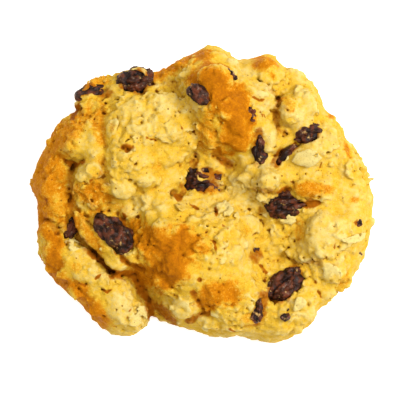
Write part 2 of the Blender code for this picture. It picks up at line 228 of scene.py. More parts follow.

# Browned patches of crust, some of which also paint shade onto walls that face away from the key light (lobe_wall,
# ridge_left, flank, terrace_edge): (x, y, half length, half width, degrees from +X, strength).
BROWNED_AND_SHADED = {
    "crown_top": (3.4, 29.4, 6.4, 4.4, -20, 1.2),
    "crown_side": (7.8, 21.6, 4.8, 9.0, 10, 1.2),
    "crown_near": (8.4, 14.4, 5.0, 4.4, 0, 1.0),
    "crown_wall": (2.2, 16.0, 3.4, 7.0, 0, 0.6),
    "ridge": (-8.4, -17.4, 6.4, 7.4, -30, 1.2),
    "ridge_left": (-14.6, -21.6, 3.2, 6.6, 30, 0.95),
    "ridge_upper": (-13.2, -12.4, 6.8, 4.2, -25, 1.0),
    "ridge_side": (-23.6, -3.4, 4.6, 3.0, -30, 0.4),
    "front": (3.6, -26.6, 5.4, 4.4, -20, 0.9),
    "front_right": (12.6, -32.6, 4.4, 2.0, 0, 0.5),
    "left_lobe": (-38.8, -16.0, 3.8, 6.0, 0, 1.2),
    "left_lobe_low": (-34.6, -23.4, 6.4, 3.0, -42, 1.0),
    "lower_left": (-27.6, -32.0, 4.8, 2.8, -50, 1.0),
    "lobe_wall": (25.6, -9.4, 1.3, 3.6, -6, 0.5),
    "far_knob": (16.2, 34.2, 3.0, 2.4, 0, 0.9),
    "far_knob_line": (18.6, 30.8, 0.8, 2.0, 30, 0.9),
    "bump": (28.6, 1.2, 4.2, 2.0, 0, 0.8),
    "flank": (-42.0, 2.0, 5.6, 16.0, -8, 0.85),
    "flank_far": (-37.0, 15.0, 4.0, 7.0, -35, 0.75),
    "flank_low": (-36.4, -4.6, 3.0, 6.4, 0, 0.7),
    "terrace_edge": (-26.4, 17.0, 2.0, 6.4, 0, 0.7),
    "terrace_low": (-28.4, 0.6, 4.0, 4.4, -30, 0.8),
    "knob": (22.8, 23.4, 1.8, 2.4, 0, 0.6),
    "rope": (-29.6, -9.6, 7.0, 2.6, -52, 0.7),
    "leaf": (-23.4, 17.0, 1.0, 1.8, -10, 0.7),
    "upper_rim": (-27.4, 29.8, 7.0, 2.0, 25, 0.65),
    "top_rim": (-6.0, 34.6, 7.0, 2.4, 24, 0.85),
    "top_rim_bit": (0.8, 36.2, 3.4, 1.6, 0, 1.0),
    "rim_orange": (38.1, 11.2, 0.8, 2.6, 14, 0.9),
    "rim_far": (33.8, 20.6, 1.2, 1.0, 0, 0.8),
    "lower_right_rim": (37.4, -22.8, 1.4, 3.0, -30, 0.5),
    "centre_low": (1.6, 0.7, 3.4, 0.9, 0, 0.6),
    "right_dimple": (39.8, -1.4, 1.4, 0.9, 0, 0.7),
    "gold_mass": (-12.0, 7.6, 1.8, 1.8, 0, 0.35),
    "gold_bump": (-35.0, 12.0, 2.0, 3.0, 0, 0.5),
    "gold_front": (11.6, -10.0, 2.4, 1.6, 0, 0.35),
    "gold_left": (-33.2, -19.4, 2.6, 2.4, -40, 0.45),
    "left_of_raisin": (-27.4, -4.6, 3.4, 2.4, -40, 0.6),
    "right_of_raisin": (-17.4, -10.0, 2.6, 4.0, -30, 0.9),
    "terrace_side": (-31.6, 19.4, 2.0, 5.0, -30, 0.6),
}

# Paler patches: (x, y, half length, half width, degrees from +X, strength).
PALED = {
    "far_plateau": (-14.0, 20.6, 8.0, 4.4, 10, 0.8),
    "mass_bright": (-20.8, 1.6, 3.0, 2.6, 0, 1.0),
    "mass_second": (-14.2, 4.0, 2.4, 2.0, 0, 0.9),
    "mass_third": (-12.4, -2.4, 4.6, 2.8, 0, 0.8),
    "centre": (1.0, -5.6, 4.6, 4.0, 0, 0.7),
    "centre_grey": (5.0, 2.0, 2.6, 3.2, 0, 0.7),
    "centre_right": (9.4, -16.6, 4.0, 3.6, 0, 0.7),
    "crown_ridge": (13.6, 27.6, 7.4, 2.6, -50, 1.0),
    "crown_ridge_low": (17.6, 14.4, 2.2, 5.6, 0, 0.9),
    "top_band": (-1.0, 32.2, 5.0, 1.2, 0, 0.3),
    "top_left_of_crown": (-9.6, 29.6, 3.4, 2.0, 0, 0.6),
    "clump": (17.8, 3.6, 3.2, 2.6, 0, 0.7),
    "right_far": (33.0, 12.0, 3.0, 6.0, 10, 0.8),
    "right_middle": (33.4, 3.4, 1.8, 4.0, -20, 0.8),
    "right_flank": (37.0, -8.0, 2.6, 3.4, 0, 0.7),
    "right_lobe": (32.0, -10.0, 2.6, 5.0, 0, 0.5),
    "lobe_round": (34.0, -20.2, 2.8, 2.4, -40, 0.8),
    "near_right": (26.6, -30.4, 3.0, 3.4, 0, 0.9),
    "slab": (-5.0, -29.6, 3.2, 2.6, 0, 0.7),
    "left_lobe": (-29.6, -17.2, 4.2, 2.6, -45, 0.7),
    "lower_lobe": (-21.0, -28.6, 4.4, 4.0, 0, 0.8),
    "terrace": (-29.6, 12.4, 2.6, 3.6, 0, 0.6),
    "knob": (25.8, 20.6, 3.6, 3.4, 0, 0.7),
    "far_right": (26.4, 29.0, 3.4, 3.4, 0, 0.5),
    "crown_foot": (15.6, 12.0, 3.0, 5.0, 0, 1.0),
    "under_clump": (13.6, -4.0, 4.0, 5.0, 0, 0.9),
    "right_lobe_low": (30.6, -15.0, 4.0, 5.0, 0, 0.8),
    "right_all": (33.0, -4.0, 8.0, 12.0, 0, 0.6),
    "front_rim": (9.0, -36.4, 9.0, 2.4, 0, 0.6),
    "mass_foot": (-18.6, -4.2, 4.0, 3.4, 0, 1.0),
    "centre_top": (9.0, 0.0, 6.0, 4.0, 0, 1.0),
    "crown_gap": (-2.0, 18.0, 2.0, 5.0, 0, 0.6),
}

# Dark patches: raisin-juice stains beside the raisins, and painted shadow where a lump hangs over and in hollows,
# cavities and folds: (x, y, half length, half width, degrees, strength).
STAINS_AND_SHADOWS = {
    "over_front_raisin": (21.4, 0.6, 2.0, 1.0, 20, 0.9),
    "beside_left_raisin": (-21.2, -8.0, 2.0, 1.4, -50, 0.8),
    "raisin_tail": (-20.2, -17.4, 2.6, 1.2, -50, 0.7),
    "far_rim_fibres": (-33.4, 21.0, 0.9, 3.4, -25, 0.8),
    "centre_hollow": (-1.6, 8.0, 1.4, 2.0, 0, 0.5),
    "crown_under": (5.8, 8.6, 2.0, 1.1, -40, 0.6),
    "under_crown_left": (-1.6, 26.2, 2.6, 1.4, -45, 0.6),
    "beside_bit": (13.8, -16.2, 1.8, 2.2, -40, 0.6),
    "slab_cavity": (-1.6, -32.4, 2.0, 0.8, 30, 0.6),
    "slab_underside": (-10.4, -31.6, 3.4, 1.0, -30, 0.5),
    "notch": (-15.0, -25.6, 3.6, 1.4, -58, 0.5),
    "ragged": (-19.6, 12.2, 2.2, 1.0, -10, 0.7),
    "left_of_mass": (-26.2, 5.4, 1.0, 3.4, 0, 0.4),
    "far_grey": (-8.0, 28.8, 2.4, 1.4, -20, 0.35),
}

# Oat flakes that stand out: (x, y, half length, half width, degrees from +X, tilt degrees, tone, lift).
FLAKES = {
    "leaf": (-23.3, 17.0, 2.8, 1.8, 80, 8, 0.6, 0.6),
    "lobe_pale": (-34.0, -13.6, 2.7, 1.8, -8, 6, 1.0, 0.9),
    "round": (-16.9, -31.9, 3.0, 2.8, 0, 4, 0.7, 0.7),
    "lobe_round": (34.0, -20.0, 2.7, 2.4, -40, 6, 0.8, 1.0),
    "tilted": (27.2, 9.6, 4.2, 2.3, 22, 14, 0.7, 1.2),
    "tilted_bright": (28.0, 8.4, 2.6, 1.0, 18, 20, 1.0, 1.7),
    "folded": (39.6, -11.6, 3.8, 1.4, -4, 14, 0.8, 0.8),
    "fan_left": (4.9, -3.6, 2.4, 1.1, 60, 10, 0.6, 0.7),
    "fan_middle": (6.9, -5.2, 2.8, 1.0, 62, 12, 0.6, 0.8),
    "fan_right": (8.6, -6.4, 2.6, 1.1, 50, 10, 0.6, 0.8),
    "amber_small": (13.9, 2.6, 1.9, 1.2, 70, 10, -0.1, 0.6),
    "rim_flake": (-25.8, 29.4, 1.8, 1.0, 30, 0, 0.6, 0.6),
    "slab": (-5.0, -29.6, 3.0, 2.5, -30, 6, 0.6, 0.8),
    "long_left": (-35.2, 6.0, 1.5, 1.2, 0, 10, 0.5, 0.4),
    "crown_right": (15.0, 26.0, 2.2, 0.9, -12, 20, 0.7, 0.8),
    "chip": (22.3, -6.6, 2.4, 1.5, 14, 12, 0.8, 0.5),
    "small_chip": (21.8, 9.0, 1.5, 1.3, -20, 14, 0.7, 1.6),
    "rope_tail": (-23.8, -18.0, 2.2, 0.9, -40, 10, 0.7, 0.6),
    "rope_flake": (-28.6, -2.8, 1.9, 1.2, -30, 14, 0.5, 0.6),
    "over_bit": (25.0, -28.4, 1.9, 1.6, 60, 8, 0.7, 1.5),
    "small_left": (-36.8, -8.0, 1.4, 1.0, 40, 10, 0.5, 0.5),
    "orange_pair": (-7.8, -17.2, 1.5, 1.0, 80, 10, 0.2, 0.8),
    "middle_flake": (-9.4, 14.6, 2.2, 1.2, -35, 10, 0.7, 0.5),
    "top_flake": (-3.2, 34.2, 2.6, 0.9, 8, 10, 0.7, 0.4),
    "right_flake": (23.6, -11.8, 1.8, 1.4, 60, 8, 0.1, 0.4),
}

# Where the raisins lie bare, as ovals seen from above: (x, y, half length, half width, degrees from +X).
WINDOWS = {
    "rim": (-17.5, 29.4, 3.7, 2.9, 0),
    "rim_far_right": (-13.7, 31.1, 1.4, 0.7, -20),
    "rim_near_right": (-13.9, 28.5, 1.2, 0.6, 25),
    "rim_front": (-16.4, 26.9, 1.2, 0.7, -10),
    "edge": (-27.5, 26.9, 2.3, 0.8, -18),
    "edge_line": (-30.6, 26.6, 1.7, 0.5, 5),
    "under_crown": (-2.2, 26.6, 1.4, 0.5, -48),
    "under_crown_low": (0.0, 24.9, 1.7, 0.7, -35),
    "under_crown_side": (0.3, 26.2, 1.0, 0.45, 80),
    "behind_crown_far": (14.9, 14.2, 1.2, 0.7, 85),
    "behind_crown_near": (15.2, 9.9, 1.5, 0.7, 85),
    "far": (27.5, 15.3, 3.0, 2.1, 5),
    "far_strip": (22.0, 10.8, 3.5, 0.95, 38),
    "far_strip_end": (20.0, 8.6, 1.2, 0.8, 80),
    "centre_low": (-0.5, 2.0, 3.6, 1.15, 3),
    "centre_left": (-2.3, 5.0, 2.2, 1.0, 85),
    "centre_far": (1.0, 5.9, 1.2, 0.65, -15),
    "centre_right": (4.0, 4.6, 1.3, 0.9, -10),
    "right": (21.2, -2.8, 4.5, 2.2, 14),
    "right_tip": (25.0, -2.6, 1.7, 0.6, 15),
    "left_long": (-23.9, -9.3, 4.9, 2.0, -47),
    "left_long_end": (-19.9, -12.5, 2.1, 1.3, -25),
    "left_small": (-34.3, -8.4, 1.8, 1.0, 60),
    "left_small_low": (-35.0, -10.0, 1.3, 0.6, 75),
    "front_large": (23.7, -22.7, 3.4, 2.3, 80),
    "front_large_low": (20.2, -26.0, 3.3, 2.5, 15),
    "front_side": (15.3, -29.6, 3.4, 1.2, 82),
}

# Small bits of raisin: (x, y, half length, half width, degrees from +X).
BITS = {
    "crown_pair": (7.3, 31.6, 0.9, 0.65, -50),
    "crown_pair_low": (8.3, 30.5, 0.8, 0.55, -40),
    "teardrop": (12.8, 21.6, 1.4, 1.0, -60),
    "teardrop_end": (13.5, 19.8, 1.0, 0.7, 80),
    "far_bit": (29.2, 18.0, 1.3, 0.8, -20),
    "near_bit": (22.4, -30.9, 1.3, 0.9, 60),
    "near_bit_low": (21.7, -32.2, 1.1, 0.7, 20),
    "crack_bit": (13.9, -14.6, 1.0, 0.8, 10),
    "right_rim": (40.6, -7.7, 1.2, 0.9, 10),
    "right_rim_last": (41.6, -16.1, 0.9, 0.6, 0),
    "right_speck": (32.8, 4.7, 0.7, 0.35, 40),
}

# Oat flakes, small lumps and crumbs scattered all over.
SUNK_FLAKES = 330
BARE_FLAKES = 24
SMALL_LUMPS = 420
SIDE_FLAKES = 90
CRUMBS = 500
SCATTER_SEED = 11

RAISIN_LEVELS = 3
COLLAR_RISE = 0.4  # how far the dough stands above a raisin's top beside the raisin
COLLAR_SLOPE = 0.7
JUICE = 0.6  # how far raisin juice darkens the dough beside a raisin

# Colours, as the share of light that each gives back.
PALE = (0.60, 0.475, 0.165, 1)
GOLD = (0.57, 0.345, 0.022, 1)
AMBER = (0.53, 0.235, 0.002, 1)
TOASTED = (0.50, 0.17, 0.001, 1)
BROWN = (0.30, 0.085, 0.001, 1)
# Painted shade, for creases, cracks and hollows.
CREVICE_SHADE = (0.13, 0.035, 0.001, 1)
SPECK = (0.16, 0.05, 0.004, 1)
# Grain colours that follow the fine bump in the dough material: the dark one is partly painted shade in its pits,
# the pale one partly a painted glint on its raised grains.
GRAIN_DARK_AND_PIT_SHADE = (0.30, 0.11, 0.002, 1)
GRAIN_PALE_AND_GLINT = (0.72, 0.56, 0.17, 1)
# The raisin's near-black is painted shade in the creases between its wrinkles, and its grey on the ridges is partly
# real and partly a painted glint.
RAISIN_CREASE_SHADE = (0.008, 0.002, 0.001, 1)
RAISIN_SKIN = (0.034, 0.009, 0.003, 1)
RAISIN_RED = (0.10, 0.022, 0.006, 1)
RAISIN_BLOOM_AND_GLINT = (0.21, 0.13, 0.085, 1)
RAISIN_SMEAR = (0.42, 0.25, 0.08, 1)

# The view and the studio. Lengths of the lights are metres.
CAMERA_HEIGHT = 1200.0
VIEW_WIDTH = 105.3
VIEW_CENTRE = (-0.5, -1.6)
FLOOR_SIZE = 3000.0
FLOOR_GLOW = 0.5
KEY_FROM = (0.75, 0.2, 0.9)
KEY_WATTS = 9.2
TOP_WATTS = 11.5
SKY = 0.56
SKY_COLOUR = (1.0, 0.93, 0.80, 1)

RAISINS = sorted(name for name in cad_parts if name.startswith("raisin_"))
CAD_LOW, CAD_HIGH = (np.array(corner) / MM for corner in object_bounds())


# ---------------------------------------------------------------- numbers


def soft_step(value, start, end):
    share = np.clip((value - start) / (end - start), 0, 1)
    return share * share * (3 - 2 * share)


def turned_axes(random):
    """Three directions at right angles, picked at random."""
    directions, _ = np.linalg.qr(random.normal(size=(3, 3)))
    return directions.astype(np.float32)


def noise(points, size, seed):
    """Smooth random numbers from -1 to 1, with features about as large as the size."""
    random = np.random.default_rng(seed)
    table = random.uniform(-1, 1, (32, 32, 32)).astype(np.float32)
    at = np.asarray(points, np.float32) @ turned_axes(random) / size + 1000
    cell = np.floor(at).astype(np.int32)
    part = at - cell
    part = part * part * part * (part * (part * 6 - 15) + 10)
    low, high = cell & 31, (cell + 1) & 31
    total = 0
    for corner in range(8):
        picks = [(corner >> k) & 1 for k in range(3)]
        index = [high[..., k] if picks[k] else low[..., k] for k in range(3)]
        weight = 1
        for k in range(3):
            weight = weight * (part[..., k] if picks[k] else 1 - part[..., k])
        total = total + weight * table[tuple(index)]
    return total


def rough(points, size, seed, layers=3):
    """Layers of noise, each half as large and half as strong as the one before."""
    return sum(noise(points, size / 2**k, seed + k) / 2**k for k in range(layers))


def blurred(values, spread):
    """The array blurred by a bell of that spread, counted in cells."""
    shape = [n + int(3 * spread) for n in values.shape]
    waves = np.fft.rfftn(values, shape)
    for axis, n in enumerate(shape):
        last = axis == len(shape) - 1
        pitch = (np.fft.rfftfreq if last else np.fft.fftfreq)(n)
        bell = np.exp(-2 * (math.pi * spread * pitch) ** 2)
        waves *= bell.reshape([-1 if k == axis else 1 for k in range(len(shape))])
    return np.fft.irfftn(waves, shape)[tuple(slice(n) for n in values.shape)].astype(np.float32)


def distance_to_path(x, y, path):
    """Distance in plan from each point to a line through the path's points."""
    nearest = np.full(np.broadcast(x, y).shape, 1e9, np.float32)
    for (ax, ay), (bx, by) in zip(path, path[1:]):
        ex, ey = bx - ax, by - ay
        along = np.clip(((x - ax) * ex + (y - ay) * ey) / (ex * ex + ey * ey), 0, 1)
        nearest = np.minimum(nearest, np.hypot(x - ax - along * ex, y - ay - along * ey))
    return nearest


# ---------------------------------------------------------------- the CAD dough, as heights


def tree_of(name):
    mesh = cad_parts[name].data
    points = [v.co / MM for v in mesh.vertices]
    return BVHTree.FromPolygons(points, [p.vertices for p in mesh.polygons])


def heights_from(tree, xs, ys):
    """Height of the highest surface over each grid point, NaN where there is none."""
    down = Vector((0, 0, -1))
    found = np.full((len(xs), len(ys)), np.nan, np.float32)
    for i, x in enumerate(xs):
        for j, y in enumerate(ys):
            hit = tree.ray_cast(Vector((x, y, 50)), down)[0]
            if hit is not None:
                found[i, j] = hit.z
    return found


def spread_out(mask, cells):
    """The mask grown by that many cells."""
    return blurred(mask.astype(np.float32), cells) > 0.12


def filled_in(values, holes, rounds):
    """The array with its holes filled smoothly from their edges."""
    values = values.copy()
    values[holes] = values[~holes].mean()
    for _ in range(rounds):
        near = np.roll(values, 1, 0) + np.roll(values, -1, 0) + np.roll(values, 1, 1) + np.roll(values, -1, 1)
        values[holes] = near[holes] / 4
    return values


def raisin_tops(xs, ys):
    """Height of the raisins' upper side over the grid, NaN between the raisins."""
    tops = [heights_from(tree_of(name), xs, ys) for name in RAISINS]
    return np.fmax.reduce(tops)


class RaisinPlan:
    """A raisin's solid seen from above, as an oval."""

    def __init__(self, name):
        at = np.array([v.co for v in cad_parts[name].data.vertices]) / MM
        middle = (at.min(0) + at.max(0)) / 2
        self.x, self.y, self.top = middle[0], middle[1], at[:, 2].max()
        _, self.axes = np.linalg.eigh(np.cov(at[:, :2].T))
        self.half = np.abs((at - middle)[:, :2] @ self.axes).max(0)

    def past(self, x, y):
        """How far each spot lies outside the oval, in mm, negative inside."""
        along = ((x - self.x) * self.axes[0, k] + (y - self.y) * self.axes[1, k] for k in range(2))
        reach = np.hypot(*(u / half for u, half in zip(along, self.half)))
        return (reach - 1) * self.half.mean()


def past_windows(x, y):
    """How far each spot lies outside the nearest window onto a raisin, in mm, negative inside."""
    nearest = np.full(np.broadcast(x, y).shape, 1e9, np.float32)
    for cx, cy, half_length, half_width, degrees in WINDOWS.values():
        turn = math.radians(degrees)
        u = ((x - cx) * math.cos(turn) + (y - cy) * math.sin(turn)) / half_length
        v = ((y - cy) * math.cos(turn) - (x - cx) * math.sin(turn)) / half_width
        nearest = np.minimum(nearest, (np.hypot(u, v) - 1) * half_width)
    return nearest


def outline_segments():
    """The pieces of the line round the CAD dough where it is broadest."""
    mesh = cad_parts["cookie_dough"].data
    at = np.array([v.co for v in mesh.vertices]) / MM
    on_rim = np.abs(at[:, 2] - RIM_Z) < 0.03
    ends = np.array([e.vertices[:] for e in mesh.edges])
    ends = ends[on_rim[ends].all(1)]
    return at[ends[:, 0], :2], at[ends[:, 1], :2]


def ground_plan(xs, ys, tops):
    """(height of the dough, distance in from its outline) over the grid, from the CAD dough."""
    height = heights_from(tree_of("cookie_dough"), xs, ys)
    outside = np.isnan(height)
    holes = spread_out(~np.isnan(tops), 2.0) | outside
    height = filled_in(np.nan_to_num(height), holes, 500)

    x, y = np.meshgrid(xs, ys, indexing="ij")
    apart = np.full(x.shape, 1e9, np.float32)
    for (ax, ay), (bx, by) in zip(*outline_segments()):
        apart = np.minimum(apart, distance_to_path(x, y, ((ax, ay), (bx, by))))
    return height, np.where(outside, -apart, apart)


PLANS = [RaisinPlan(name) for name in RAISINS]


# ---------------------------------------------------------------- clay


class Clay:
    """Distances to the dough's surface on a grid, negative inside, with the oat tone of each spot beside them."""

    def __init__(self, low, high):
        self.axes = [np.arange(low[k], high[k], STEP, dtype=np.float32) for k in range(3)]
        self.low = np.array([axis[0] for axis in self.axes])
        shape = [len(axis) for axis in self.axes]
        self.far = np.zeros(shape, np.float32)
        self.tone = np.zeros(shape, np.float32)

    def window(self, centre, reach):
        """The part of the grid within reach of the centre, and the coordinates there."""
        where = []
        for k in range(3):
            first, last = np.searchsorted(self.axes[k], (centre[k] - reach, centre[k] + reach))
            where.append(slice(first, last))
        x, y, z = (axis[part] for axis, part in zip(self.axes, where))
        return tuple(where), x[:, None, None], y[None, :, None], z[None, None, :]

    def press_on(self, shape, centre, reach, blend, tone):
        """Joins a shape to the dough, rounding the corner between them by about the blend."""
        where, *at = self.window(centre, reach)
        old, new = self.far[where], shape(*at)
        share = np.clip(0.5 + 0.5 * (old - new) / blend, 0, 1)
        self.far[where] = old + (new - old) * share - blend * share * (1 - share)
        self.tone[where] += (tone - self.tone[where]) * share

    def at(self, values, points):
        """The grid's values at the points, between cells as well."""
        place = (points - self.low) / STEP
        cell = np.clip(np.floor(place).astype(int), 0, np.array(values.shape) - 2)
        part = place - cell
        total = 0
        for corner in range(8):
            step = np.array([(corner >> k) & 1 for k in range(3)])
            weight = np.where(step, part, 1 - part).prod(1)
            total = total + weight * values[tuple((cell + step).T)]
        return total


def frame_on(normal, heading, tilt, lean):
    """Three directions at right angles: along, across and out of something that lies on a surface."""
    out = Vector(normal).normalized()
    side = Vector((math.cos(lean), math.sin(lean), 0))
    out = (out + math.tan(tilt) * (side - out * side.dot(out))).normalized()
    along = Vector((math.cos(heading), math.sin(heading), 0))
    along = along - out * along.dot(out)
    if along.length < 1e-3:
        along = out.orthogonal()
    along.normalize()
    return along, out.cross(along), out


def flake_shape(centre, axes, half_length, half_width, half_thickness, cup, wobble):
    """Distance to a rolled oat flake: an uneven oval disc, cupped, with a groove along its middle."""
    mean = math.sqrt(half_length * half_width)

    def shape(x, y, z):
        dx, dy, dz = x - centre[0], y - centre[1], z - centre[2]
        u, v, w = (dx * a.x + dy * a.y + dz * a.z for a in axes)
        angle = np.arctan2(v / half_width, u / half_length)
        uneven = 1 + 0.08 * np.sin(2 * angle + wobble) + 0.07 * np.sin(3 * angle + 2 * wobble)
        uneven += 0.04 * np.sin(7 * angle + 5 * wobble)
        side = (np.hypot(u / half_length, v / half_width) * uneven - 1) * mean
        bend = cup * (u * u + v * v) / mean**2 - 0.18 * np.exp(-((v / 0.45) ** 2))
        over = np.abs(w - bend) - half_thickness
        edge = min(half_thickness, 0.3)
        a, b = side + edge, over + edge
        return np.hypot(np.maximum(a, 0), np.maximum(b, 0)) + np.minimum(np.maximum(a, b), 0) - edge

    return shape


def lump_shape(centre, radii, heading=0.0):
    """Distance, roughly, to a rounded lump whose long side points along the heading."""
    across, down = math.cos(heading), math.sin(heading)

    def shape(x, y, z):
        dx, dy, dz = x - centre[0], y - centre[1], z - centre[2]
        u, v = dx * across + dy * down, dy * across - dx * down
        reach = np.sqrt((u / radii[0]) ** 2 + (v / radii[1]) ** 2 + (dz / radii[2]) ** 2)
        return (reach - 1) * min(radii)

    return shape


def crack_reach(points, x, y, width, path):
    """Distance to a crack whose edges are ragged and which closes up here and there."""
    ragged = 0.35 * noise(points, 0.8, 33) + 0.3 * noise(points, 1.6, 34)
    return distance_to_path(x, y, path) + ragged + width * soft_step(noise(points, 1.9, 36), -0.05, 0.35)


def cut_height(height, x, y, plan):
    """Lowers the height along the creases and cracks, and at the holes. Their edges wander a little."""
    wander = 0.5 * noise(plan, 2.2, 31) + 0.3 * noise(plan, 0.9, 32)
    for width, depth, _, path in CREASES.values():
        reach = distance_to_path(x, y, path) + 0.9 * wander
        height = height - depth * np.exp(-((np.maximum(reach, 0) / (1.3 * width)) ** 2))
    for width, depth, path in CRACKS.values():
        reach = crack_reach(plan, x, y, width, path)
        height = height - 0.65 * depth * (1 - soft_step(reach, 0.1 * width, 1.3 * width))
    for hx, hy, radius, depth in HOLES:
        reach = np.hypot(x - hx, y - hy) * (1 + 0.8 * wander)
        height = height - 0.65 * depth * (1 - soft_step(reach, 0.3 * radius, 1.4 * radius))
    return height


def starting_clay(clay, height, inward):
    """Fills the clay with the dough's own body."""
    x, y, z = (axis for axis in clay.axes)
    slope = np.hypot(*np.gradient(height, STEP))
    over = (z[None, None, :] - height[:, :, None]) / np.sqrt(1 + np.minimum(slope, 2.5) ** 2)[:, :, None]
    tucked = np.interp(z, TUCK_Z, TUCK_IN)[None, None, :] - inward[:, :, None]
    clay.far[:] = np.maximum(over, 0.85 * tucked)


class Ground:
    """The dough's surface in plan, to place things on."""

    def __init__(self, clay, height, inward):
        self.clay, self.height, self.inward = clay, height, inward
        self.slope = np.gradient(blurred(height, 3), STEP)

    def cell(self, x, y):
        place = [int(round((p - low) / STEP)) for p, low in zip((x, y), self.clay.low)]
        return tuple(np.clip(p, 0, n - 1) for p, n in zip(place, self.height.shape))

    def raisin_gap(self, x, y):
        """How far the spot is from the nearest bare raisin, in plan, negative on one."""
        return past_windows(x, y)[()]

    def point(self, x, y, lift=0.0):
        """(point on the surface, its normal)."""
        i, j = self.cell(x, y)
        normal = Vector((-self.slope[0][i, j], -self.slope[1][i, j], 1)).normalized()
        return np.array((x, y, self.height[i, j])) + lift * np.array(normal), normal


def press_flake(clay, centre, normal, size, heading, tilt, lean, tone, cup, blend, wobble):
    half_length, half_width, half_thickness = size
    axes = frame_on(normal, heading, tilt, lean)
    shape = flake_shape(centre, axes, half_length, half_width, half_thickness, cup, wobble)
    clay.press_on(shape, centre, 1.25 * half_length + 0.8, blend, tone)


def press_lump(clay, ground, x, y, half_length, half_width, heading, rise, tone, blend):
    """A soft lump that stands above the dough by about the rise."""
    thick = 0.5 * half_width + 0.5 * rise
    at, _ = ground.point(x, y)
    at[2] += rise - thick
    shape = lump_shape(at, (half_length, half_width, thick), heading)
    clay.press_on(shape, at, 1.1 * half_length + 1.5, blend, tone)


def press_lumps(clay, ground):
    for x, y, half_length, half_width, degrees, rise in LUMPS.values():
        press_lump(clay, ground, x, y, half_length, half_width, math.radians(degrees), rise, 0.15, 0.9)


def scatter_lumps(clay, ground):
    """Small soft lumps between the large ones."""
    random = np.random.default_rng(SCATTER_SEED + 3)
    for _ in range(SMALL_LUMPS):
        x, y = random.uniform(CAD_LOW[:2], CAD_HIGH[:2])
        half_length, stretch = random.uniform(0.9, 2.4), random.uniform(0.6, 1.0)
        heading, rise, tone = random.uniform(0, math.pi), random.uniform(0.1, 0.55), random.normal(0.1, 0.4)
        if ground.inward[ground.cell(x, y)] < 1.0 or ground.raisin_gap(x, y) < 0.6 * half_length:
            continue
        press_lump(clay, ground, x, y, half_length, stretch * half_length, heading, rise, tone, 0.6)


def scatter_flakes(clay, ground):
    """Oat flakes all over the top. Most are sunk in the dough and coated by it, and a few lie bare on it."""
    random = np.random.default_rng(SCATTER_SEED)
    for n in range(SUNK_FLAKES + BARE_FLAKES):
        x, y = random.uniform(CAD_LOW[:2], CAD_HIGH[:2])
        bare = n >= SUNK_FLAKES
        size = np.array((random.uniform(1.9, 3.4), random.uniform(1.4, 2.3), random.uniform(0.35, 0.5)))
        turn, lean, wobble = random.uniform(0, 2 * math.pi, 3)
        tilt = abs(random.normal(0, 0.2))
        lift, blend = (random.uniform(-0.1, 0.2), 0.25) if bare else (random.uniform(-0.7, -0.1), 0.8)
        tone, cup = random.normal(0.1, 0.5), random.uniform(-0.5, 0.3)
        if ground.inward[ground.cell(x, y)] < 1.2 or ground.raisin_gap(x, y) < 0.5 * size[0]:
            continue
        at, normal = ground.point(x, y, lift)
        press_flake(clay, at, normal, size, turn, tilt, lean, tone, cup, blend, wobble)


def scatter_side(clay, segments):
    """Oat flakes on the side wall of the dough."""
    random = np.random.default_rng(SCATTER_SEED + 1)
    starts, ends = segments
    for _ in range(SIDE_FLAKES):
        pick = random.integers(len(starts))
        a, b = starts[pick], ends[pick]
        along = b - a
        out = np.array((along[1], -along[0])) / np.linalg.norm(along)
        if out @ a < 0:
            out = -out
        z = random.uniform(1.6, 5.5)
        at = a + random.uniform() * along - (0.6 + 0.12 * (z - RIM_Z) ** 2) * out
        size = np.array((random.uniform(1.8, 3.0), random.uniform(1.1, 1.8), 0.4))
        turn, lean, wobble = random.uniform(0, 2 * math.pi, 3)
        normal = (*out, 0.25 * (z - RIM_Z))
        press_flake(clay, (*at, z), normal, size, turn, 0.15, lean, random.normal(0, 0.4), 0.2, 0.5, wobble)


def scatter_crumbs(clay, ground):
    random = np.random.default_rng(SCATTER_SEED + 2)
    for _ in range(CRUMBS):
        x, y = random.uniform(CAD_LOW[:2], CAD_HIGH[:2])
        radii = random.uniform(0.3, 0.75) * random.uniform(0.7, 1.3, 3)
        lift, tone = random.uniform(-0.25, 0.25), random.normal(0.1, 0.5)
        if ground.inward[ground.cell(x, y)] < 0.8 or ground.raisin_gap(x, y) < 0:
            continue
        at, _ = ground.point(x, y, lift)
        clay.press_on(lump_shape(at, radii), at, 1.6 * max(radii) + 0.6, 0.35, tone)


def press_named(clay, ground):
    """The flakes that stand out on this cookie."""
    for n, (x, y, half_length, half_width, degrees, tilt, tone, lift) in enumerate(FLAKES.values()):
        at, normal = ground.point(x, y, lift)
        size = (half_length, half_width, 0.45)
        turn, tilt = math.radians(degrees), math.radians(tilt)
        press_flake(clay, at, normal, size, turn, tilt, -2.4, tone, -0.2, 0.4, 1.7 * n)


def lowered_round_raisins(height, x, y):
    """The height brought down to a slope that runs up from each raisin, so that none lies in a pit."""
    for plan in PLANS:
        rise = plan.top + COLLAR_RISE + COLLAR_SLOPE * np.maximum(plan.past(x, y), 0)
        height = np.minimum(height, rise)
    return height


def clear_raisins(clay, tops, x, y, points):
    """Opens the windows onto the raisins. The edge of the dough round each is uneven."""
    tops = blurred(filled_in(np.nan_to_num(tops), np.isnan(tops), 60), 1.0)
    bare = -np.maximum(past_windows(x, y), np.min([plan.past(x, y) for plan in PLANS], axis=0))
    bare += 0.5 * noise(points, 1.6, 35) + 0.3 * noise(points, 0.7, 37) - 0.1
    above = clay.axes[2][None, None, :] - (tops - 1.0)[:, :, None]
    clay.far = np.maximum(clay.far, np.minimum(bare[:, :, None], 0.8 * above))


